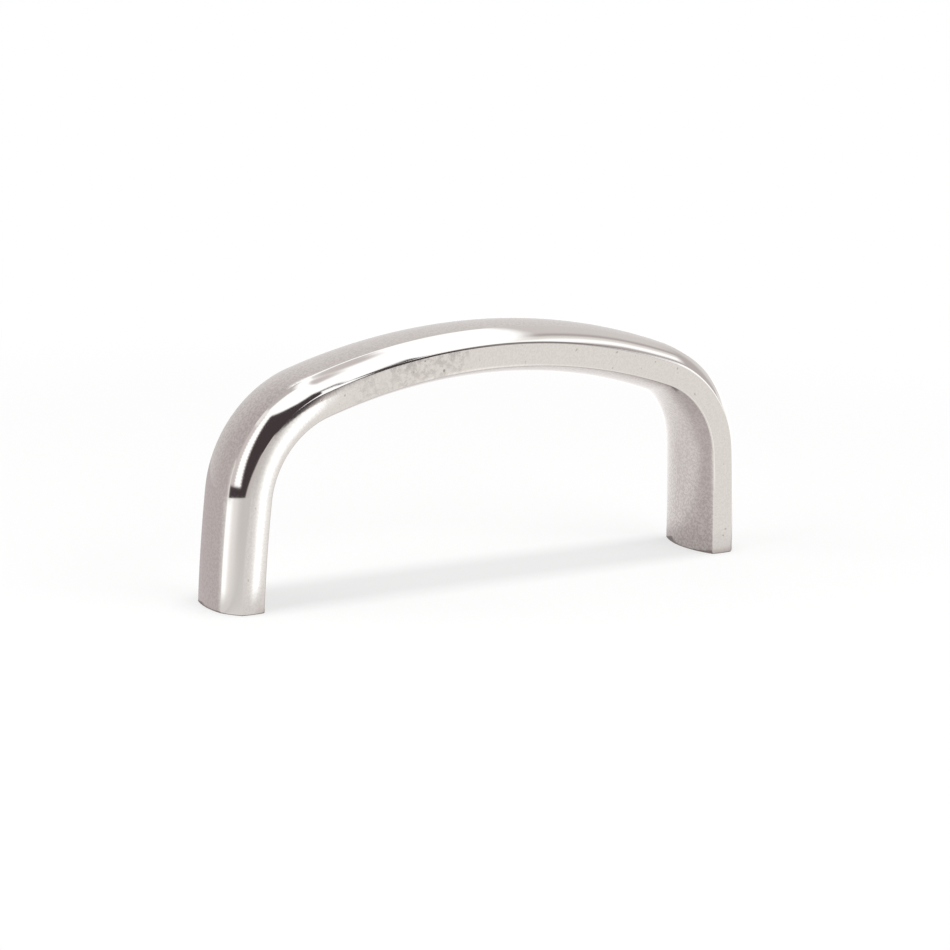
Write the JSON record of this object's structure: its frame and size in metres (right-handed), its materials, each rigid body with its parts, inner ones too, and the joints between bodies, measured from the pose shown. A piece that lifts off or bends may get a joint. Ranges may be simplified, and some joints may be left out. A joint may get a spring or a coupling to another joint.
{
  "type": "curved cabinet pull",
  "caption": "Bow-shaped cabinet and drawer pull in polished nickel: a bar with a crowned, bevelled section bent into a low arch on nearly straight legs, screwed on from behind the door.",
  "frame": {"origin": "midway between the two screw holes, on the flat face of the feet that meets the door", "axes": "+X along the pull from foot to foot, +Y across the bar, +Z away from the door"},
  "size_m": [0.0832, 0.0114, 0.0352],
  "materials": {
    "polished_nickel": "polished nickel plate, mirror bright with fine casting pits"
  },
  "bodies": {
    "root": {"bow_handle": "polished_nickel"}
  },
  "joints": []
}
